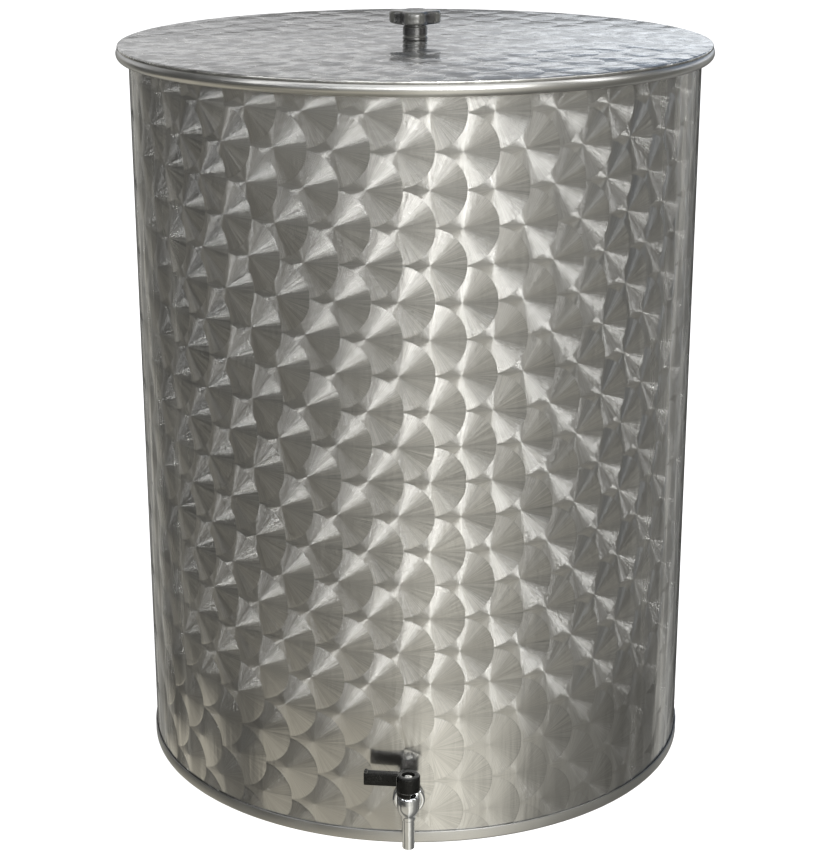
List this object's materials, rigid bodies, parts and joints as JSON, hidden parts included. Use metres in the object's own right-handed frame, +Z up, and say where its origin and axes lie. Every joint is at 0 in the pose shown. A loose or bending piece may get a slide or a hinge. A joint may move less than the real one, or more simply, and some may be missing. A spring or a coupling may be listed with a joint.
{
  "type": "vertical storage tank",
  "caption": "Small upright stainless-steel storage drum for wine or oil, with an engine-turned swirl finish, a loose flat lid with a black knob and a small lever tap at the foot",
  "frame": {"origin": "on the drum's axis, in the underside of the bottom plate, at floor level", "axes": "+Z up along the drum's axis, -Y towards the tap (the front), +X to the right as seen from the front"},
  "size_m": [0.5532, 0.5723, 0.717],
  "materials": {
    "swirl_steel": "engine-turned overlapping swirls",
    "plain_steel": "bright rolled sheet",
    "chrome": "polished chrome plate",
    "black_plastic": "moulded black, slightly glossy",
    "rubber": "flat black seal"
  },
  "bodies": {
    "tank": {"bottom_plate": "swirl_steel", "bottom_flange": "swirl_steel", "rim_bead": "plain_steel", "weld_seam": "plain_steel", "wall_segment_01": "swirl_steel", "wall_segment_02": "swirl_steel", "wall_segment_03": "swirl_steel", "wall_segment_04": "swirl_steel", "wall_segment_05": "swirl_steel", "wall_segment_06": "swirl_steel", "wall_segment_07": "swirl_steel", "wall_segment_08": "swirl_steel", "wall_segment_09": "swirl_steel", "wall_segment_10": "swirl_steel", "wall_segment_11": "swirl_steel", "wall_segment_12": "swirl_steel", "wall_segment_13": "swirl_steel", "wall_segment_14": "swirl_steel", "wall_segment_15": "swirl_steel", "wall_segment_16": "swirl_steel", "wall_segment_17": "swirl_steel", "tap_shank": "chrome", "tap_outer_seal": "rubber", "tap_wall_flange": "chrome", "tap_inner_seal": "rubber", "tap_inner_nut": "plain_steel", "tap_body": "chrome", "tap_spout": "chrome"},
    "lid": {"lid_plate": "swirl_steel", "lid_knob": "black_plastic", "lid_knob_screw": "plain_steel"},
    "lever": {"tap_lever": "black_plastic", "tap_lever_screw": "plain_steel"}
  },
  "joints": [
    {"name": "lid_lift", "type": "slide", "parent": "tank", "child": "lid", "axis": [0, 0, 1], "range_m": [0, 0.25]},
    {"name": "lever_turn", "type": "hinge", "parent": "tank", "child": "lever", "pos_m": [0, -0.285, 0.07], "axis": [0, 0, 1], "range_deg": [0, 90]}
  ]
}
